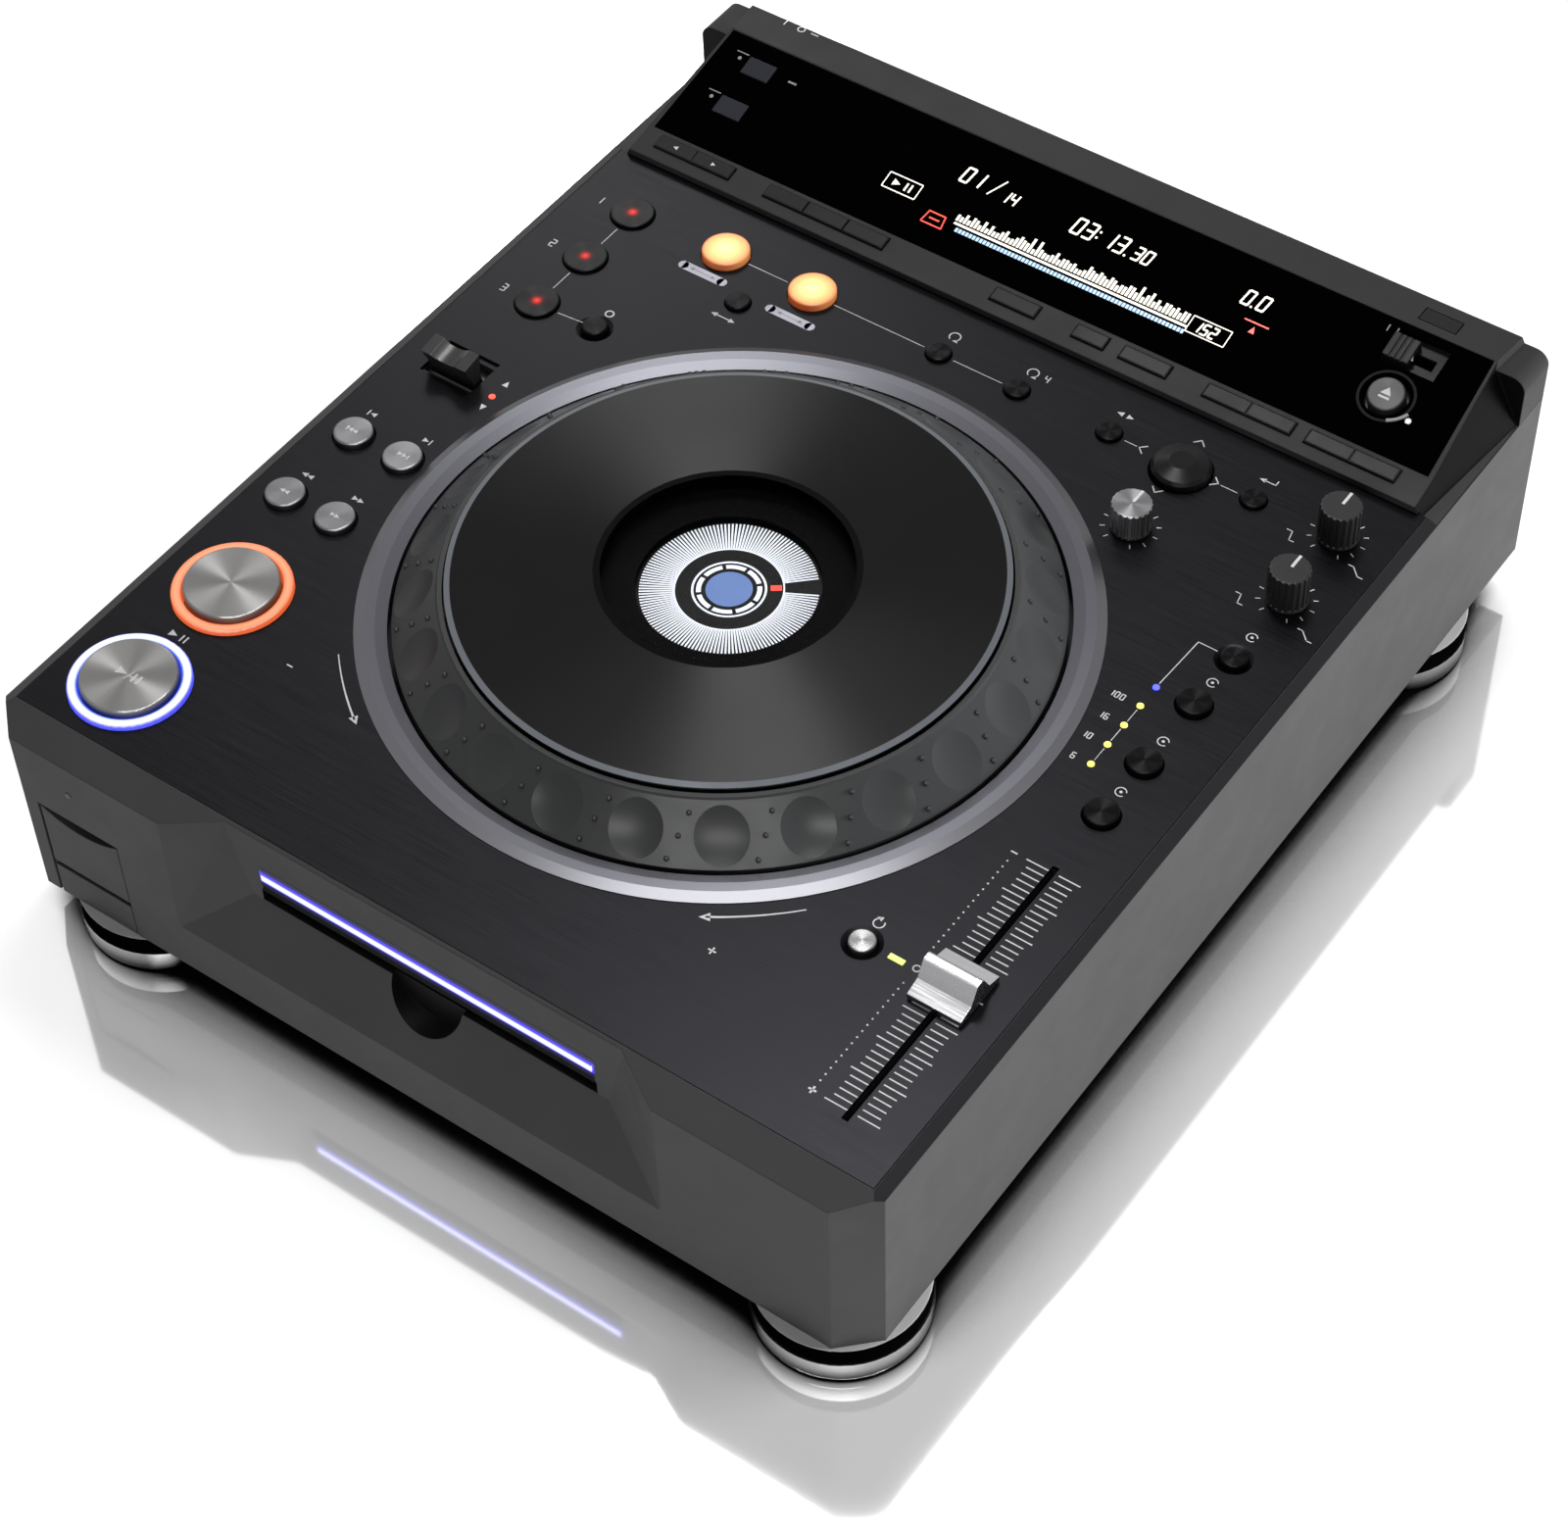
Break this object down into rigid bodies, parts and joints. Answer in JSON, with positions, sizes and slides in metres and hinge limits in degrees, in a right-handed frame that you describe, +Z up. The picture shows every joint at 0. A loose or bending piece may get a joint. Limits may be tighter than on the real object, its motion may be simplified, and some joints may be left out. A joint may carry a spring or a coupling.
{
  "type": "tabletop disc player for disc jockeys",
  "caption": "Tabletop slot-in disc player with a large jog wheel in a silver ring, a raised sloping display housing, round buttons, knobs, a tempo fader and round feet.",
  "frame": {"origin": "on the surface that the feet stand on, under the middle of the whole object", "axes": "+X to the user's right, +Y away from the user towards the rear sockets, +Z up"},
  "size_m": [0.3276, 0.389, 0.107],
  "materials": {
    "cabinet_grey": "moulded, lightly textured",
    "housing_grey": "moulded, lightly textured",
    "plate_black": "brushed and black anodised",
    "chassis_steel": "plain folded sheet",
    "window_black": "smoked, glossy",
    "ring_silver": "satin silver paint",
    "screen_black": "display face",
    "foot_black": "satin",
    "light_clear": "frosted light guide",
    "board_green": "circuit board",
    "drive_steel": "pressed sheet",
    "socket_black": "moulded",
    "screw_steel": "dark plated",
    "wheel_rubber": "matt grip",
    "jog_plate_dark": "turned, fine circular lines",
    "button_metal": "turned metal",
    "button_dark": "glossy",
    "button_lit": "frosted, lit from below",
    "key_grey": "satin",
    "knob_black": "satin",
    "knob_silver": "satin",
    "fader_silver": "satin",
    "lever_black": "satin"
  },
  "bodies": {
    "player": {"base_chassis": "chassis_steel", "cabinet": "cabinet_grey", "top_plate": "plate_black", "display_housing": "housing_grey", "display_window": "window_black", "jog_ring": "ring_silver", "jog_display": "screen_black", "feet": "foot_black", "light_guides": "light_clear", "circuit_boards": "board_green", "disc_drive": "drive_steel", "rear_sockets": "socket_black", "screws": "screw_steel"},
    "jog_wheel": {"jog_wheel": "wheel_rubber"},
    "jog_plate": {"jog_plate": "jog_plate_dark"},
    "tempo_fader": {"tempo_fader": "fader_silver"},
    "direction_lever": {"direction_lever": "lever_black"},
    "cursor_gimbal": {"cursor_gimbal": "socket_black"},
    "cursor_stick": {"cursor_stick": "knob_black"},
    "eject_button": {"eject_button": "key_grey"},
    "lock_slide": {"lock_slide": "key_grey"},
    "stop_button": {"stop_button": "key_grey"},
    "power_button": {"power_button": "button_dark"},
    "card_door": {"card_door": "cabinet_grey"},
    "jog_adjust_knob": {"jog_adjust_knob": "knob_silver"},
    "touch_brake_knob": {"touch_brake_knob": "knob_black"},
    "release_start_knob": {"release_start_knob": "knob_black"},
    "track_back_button": {"track_back_button": "button_metal"},
    "track_forward_button": {"track_forward_button": "button_metal"},
    "search_back_button": {"search_back_button": "button_metal"},
    "search_forward_button": {"search_forward_button": "button_metal"},
    "play_button": {"play_button": "button_metal"},
    "cue_button": {"cue_button": "button_metal"},
    "hot_cue_a_button": {"hot_cue_a_button": "button_dark"},
    "hot_cue_b_button": {"hot_cue_b_button": "button_dark"},
    "hot_cue_c_button": {"hot_cue_c_button": "button_dark"},
    "record_mode_button": {"record_mode_button": "button_dark"},
    "back_and_forth_button": {"back_and_forth_button": "button_dark"},
    "reloop_button": {"reloop_button": "button_dark"},
    "four_beat_button": {"four_beat_button": "button_dark"},
    "cue_call_button": {"cue_call_button": "button_dark"},
    "enter_button": {"enter_button": "button_dark"},
    "hyper_jog_button": {"hyper_jog_button": "button_dark"},
    "jog_mode_button": {"jog_mode_button": "button_dark"},
    "tempo_range_button": {"tempo_range_button": "button_dark"},
    "master_tempo_button": {"master_tempo_button": "button_dark"},
    "tempo_reset_button": {"tempo_reset_button": "button_dark"},
    "loop_in_button": {"loop_in_button": "button_lit"},
    "loop_out_button": {"loop_out_button": "button_lit"},
    "angle_key": {"angle_key": "key_grey"},
    "subtitle_key": {"subtitle_key": "key_grey"},
    "audio_key": {"audio_key": "key_grey"},
    "display_key": {"display_key": "key_grey"},
    "delete_key": {"delete_key": "key_grey"},
    "memory_key": {"memory_key": "key_grey"},
    "time_mode_key": {"time_mode_key": "key_grey"},
    "text_mode_key": {"text_mode_key": "key_grey"},
    "folder_rocker": {"folder_rocker": "key_grey"},
    "menu_rocker": {"menu_rocker": "key_grey"},
    "return_rocker": {"return_rocker": "key_grey"}
  },
  "joints": [
    {"name": "track_back_button_press", "type": "slide", "parent": "player", "child": "track_back_button", "axis": [0, 0, -1], "range_m": [0, 0.0008], "stiffness_N_per_m": 300, "springref_m": -0.0005},
    {"name": "track_forward_button_press", "type": "slide", "parent": "player", "child": "track_forward_button", "axis": [0, 0, -1], "range_m": [0, 0.0008], "stiffness_N_per_m": 300, "springref_m": -0.0005},
    {"name": "search_back_button_press", "type": "slide", "parent": "player", "child": "search_back_button", "axis": [0, 0, -1], "range_m": [0, 0.0008], "stiffness_N_per_m": 300, "springref_m": -0.0005},
    {"name": "search_forward_button_press", "type": "slide", "parent": "player", "child": "search_forward_button", "axis": [0, 0, -1], "range_m": [0, 0.0008], "stiffness_N_per_m": 300, "springref_m": -0.0005},
    {"name": "hot_cue_a_button_press", "type": "slide", "parent": "player", "child": "hot_cue_a_button", "axis": [0, 0, -1], "range_m": [0, 0.0008], "stiffness_N_per_m": 300, "springref_m": -0.0005},
    {"name": "hot_cue_b_button_press", "type": "slide", "parent": "player", "child": "hot_cue_b_button", "axis": [0, 0, -1], "range_m": [0, 0.0008], "stiffness_N_per_m": 300, "springref_m": -0.0005},
    {"name": "hot_cue_c_button_press", "type": "slide", "parent": "player", "child": "hot_cue_c_button", "axis": [0, 0, -1], "range_m": [0, 0.0008], "stiffness_N_per_m": 300, "springref_m": -0.0005},
    {"name": "loop_in_button_press", "type": "slide", "parent": "player", "child": "loop_in_button", "axis": [0, 0, -1], "range_m": [0, 0.0008], "stiffness_N_per_m": 300, "springref_m": -0.0005},
    {"name": "loop_out_button_press", "type": "slide", "parent": "player", "child": "loop_out_button", "axis": [0, 0, -1], "range_m": [0, 0.0008], "stiffness_N_per_m": 300, "springref_m": -0.0005},
    {"name": "record_mode_button_press", "type": "slide", "parent": "player", "child": "record_mode_button", "axis": [0, 0, -1], "range_m": [0, 0.0008], "stiffness_N_per_m": 300, "springref_m": -0.0005},
    {"name": "back_and_forth_button_press", "type": "slide", "parent": "player", "child": "back_and_forth_button", "axis": [0, 0, -1], "range_m": [0, 0.0008], "stiffness_N_per_m": 300, "springref_m": -0.0005},
    {"name": "reloop_button_press", "type": "slide", "parent": "player", "child": "reloop_button", "axis": [0, 0, -1], "range_m": [0, 0.0008], "stiffness_N_per_m": 300, "springref_m": -0.0005},
    {"name": "four_beat_button_press", "type": "slide", "parent": "player", "child": "four_beat_button", "axis": [0, 0, -1], "range_m": [0, 0.0008], "stiffness_N_per_m": 300, "springref_m": -0.0005},
    {"name": "cue_call_button_press", "type": "slide", "parent": "player", "child": "cue_call_button", "axis": [0, 0, -1], "range_m": [0, 0.0008], "stiffness_N_per_m": 300, "springref_m": -0.0005},
    {"name": "enter_button_press", "type": "slide", "parent": "player", "child": "enter_button", "axis": [0, 0, -1], "range_m": [0, 0.0008], "stiffness_N_per_m": 300, "springref_m": -0.0005},
    {"name": "hyper_jog_button_press", "type": "slide", "parent": "player", "child": "hyper_jog_button", "axis": [0, 0, -1], "range_m": [0, 0.0008], "stiffness_N_per_m": 300, "springref_m": -0.0005},
    {"name": "jog_mode_button_press", "type": "slide", "parent": "player", "child": "jog_mode_button", "axis": [0, 0, -1], "range_m": [0, 0.0008], "stiffness_N_per_m": 300, "springref_m": -0.0005},
    {"name": "tempo_range_button_press", "type": "slide", "parent": "player", "child": "tempo_range_button", "axis": [0, 0, -1], "range_m": [0, 0.0008], "stiffness_N_per_m": 300, "springref_m": -0.0005},
    {"name": "master_tempo_button_press", "type": "slide", "parent": "player", "child": "master_tempo_button", "axis": [0, 0, -1], "range_m": [0, 0.0008], "stiffness_N_per_m": 300, "springref_m": -0.0005},
    {"name": "tempo_reset_button_press", "type": "slide", "parent": "player", "child": "tempo_reset_button", "axis": [0, 0, -1], "range_m": [0, 0.0008], "stiffness_N_per_m": 300, "springref_m": -0.0005},
    {"name": "stop_button_press", "type": "slide", "parent": "player", "child": "stop_button", "axis": [0, 0, -1], "range_m": [0, 0.0008], "stiffness_N_per_m": 300, "springref_m": -0.0005},
    {"name": "play_button_press", "type": "slide", "parent": "player", "child": "play_button", "axis": [0, 0, -1], "range_m": [0, 0.0012], "stiffness_N_per_m": 500, "springref_m": -0.0012},
    {"name": "cue_button_press", "type": "slide", "parent": "player", "child": "cue_button", "axis": [0, 0, -1], "range_m": [0, 0.0012], "stiffness_N_per_m": 500, "springref_m": -0.0012},
    {"name": "angle_key_press", "type": "slide", "parent": "player", "child": "angle_key", "axis": [0, 0.2205, -0.9754], "range_m": [0, 0.0008], "stiffness_N_per_m": 300, "springref_m": -0.0005},
    {"name": "subtitle_key_press", "type": "slide", "parent": "player", "child": "subtitle_key", "axis": [0, 0.2205, -0.9754], "range_m": [0, 0.0008], "stiffness_N_per_m": 300, "springref_m": -0.0005},
    {"name": "audio_key_press", "type": "slide", "parent": "player", "child": "audio_key", "axis": [0, 0.2205, -0.9754], "range_m": [0, 0.0008], "stiffness_N_per_m": 300, "springref_m": -0.0005},
    {"name": "display_key_press", "type": "slide", "parent": "player", "child": "display_key", "axis": [0, 0.2205, -0.9754], "range_m": [0, 0.0008], "stiffness_N_per_m": 300, "springref_m": -0.0005},
    {"name": "delete_key_press", "type": "slide", "parent": "player", "child": "delete_key", "axis": [0, 0.2205, -0.9754], "range_m": [0, 0.0008], "stiffness_N_per_m": 300, "springref_m": -0.0005},
    {"name": "memory_key_press", "type": "slide", "parent": "player", "child": "memory_key", "axis": [0, 0.2205, -0.9754], "range_m": [0, 0.0008], "stiffness_N_per_m": 300, "springref_m": -0.0005},
    {"name": "time_mode_key_press", "type": "slide", "parent": "player", "child": "time_mode_key", "axis": [0, 0.2939, -0.9558], "range_m": [0, 0.0008], "stiffness_N_per_m": 300, "springref_m": -0.0005},
    {"name": "text_mode_key_press", "type": "slide", "parent": "player", "child": "text_mode_key", "axis": [0, 0.2939, -0.9558], "range_m": [0, 0.0008], "stiffness_N_per_m": 300, "springref_m": -0.0005},
    {"name": "eject_button_press", "type": "slide", "parent": "player", "child": "eject_button", "axis": [0, 0.2939, -0.9558], "range_m": [0, 0.0008], "stiffness_N_per_m": 300, "springref_m": -0.0005},
    {"name": "folder_rocker_tilt", "type": "hinge", "parent": "player", "child": "folder_rocker", "pos_m": [-0.1294, 0.13059, 0.08782], "axis": [0, 0.9754, 0.2205], "range_deg": [-1.2, 1.2], "stiffness_Nm_per_rad": 0.5},
    {"name": "menu_rocker_tilt", "type": "hinge", "parent": "player", "child": "menu_rocker", "pos_m": [0.0883, 0.13059, 0.08782], "axis": [0, 0.9754, 0.2205], "range_deg": [-1.2, 1.2], "stiffness_Nm_per_rad": 0.5},
    {"name": "return_rocker_tilt", "type": "hinge", "parent": "player", "child": "return_rocker", "pos_m": [0.1256, 0.13059, 0.08782], "axis": [0, 0.9754, 0.2205], "range_deg": [-1.2, 1.2], "stiffness_Nm_per_rad": 0.5},
    {"name": "cursor_tilt_front_back", "type": "hinge", "parent": "player", "child": "cursor_gimbal", "pos_m": [0.0826, 0.0982, 0.085], "axis": [1, 0, 0], "range_deg": [-6, 6], "stiffness_Nm_per_rad": 0.3},
    {"name": "cursor_tilt_left_right", "type": "hinge", "parent": "cursor_gimbal", "child": "cursor_stick", "pos_m": [0.0826, 0.0982, 0.085], "axis": [0, 1, 0], "range_deg": [-6, 6], "stiffness_Nm_per_rad": 0.3},
    {"name": "jog_adjust_knob_turn", "type": "hinge", "parent": "player", "child": "jog_adjust_knob", "pos_m": [0.0825, 0.0686, 0.09], "axis": [0, 0, -1], "range_deg": [-150, 150]},
    {"name": "touch_brake_knob_turn", "type": "hinge", "parent": "player", "child": "touch_brake_knob", "pos_m": [0.1375, 0.1006, 0.09], "axis": [0, 0, -1], "range_deg": [-150, 150]},
    {"name": "release_start_knob_turn", "type": "hinge", "parent": "player", "child": "release_start_knob", "pos_m": [0.138, 0.069, 0.09], "axis": [0, 0, -1], "range_deg": [-150, 150]},
    {"name": "tempo_fader_slide", "type": "slide", "parent": "player", "child": "tempo_fader", "axis": [0, 1, 0], "range_m": [-0.05, 0.05]},
    {"name": "direction_lever_tilt", "type": "hinge", "parent": "player", "child": "direction_lever", "pos_m": [-0.1347, 0.008, 0.0756], "axis": [-1, 0, 0], "range_deg": [0, 20]},
    {"name": "lock_slide_move", "type": "slide", "parent": "player", "child": "lock_slide", "axis": [1, 0, 0], "range_m": [0, 0.0096]},
    {"name": "power_button_push", "type": "slide", "parent": "player", "child": "power_button", "axis": [0, 1, 0], "range_m": [0, 0.002]},
    {"name": "card_door_open", "type": "hinge", "parent": "player", "child": "card_door", "pos_m": [-0.12705, -0.18875, 0.03235], "axis": [1, 0, 0], "range_deg": [0, 90]},
    {"name": "jog_wheel_turn", "type": "hinge", "parent": "player", "child": "jog_wheel", "pos_m": [0, -0.0288, 0.08], "axis": [0, 0, 1], "continuous": true},
    {"name": "jog_plate_press", "type": "slide", "parent": "jog_wheel", "child": "jog_plate", "axis": [0, 0, -1], "range_m": [0, 0.0005], "stiffness_N_per_m": 3000, "springref_m": -0.0014}
  ]
}
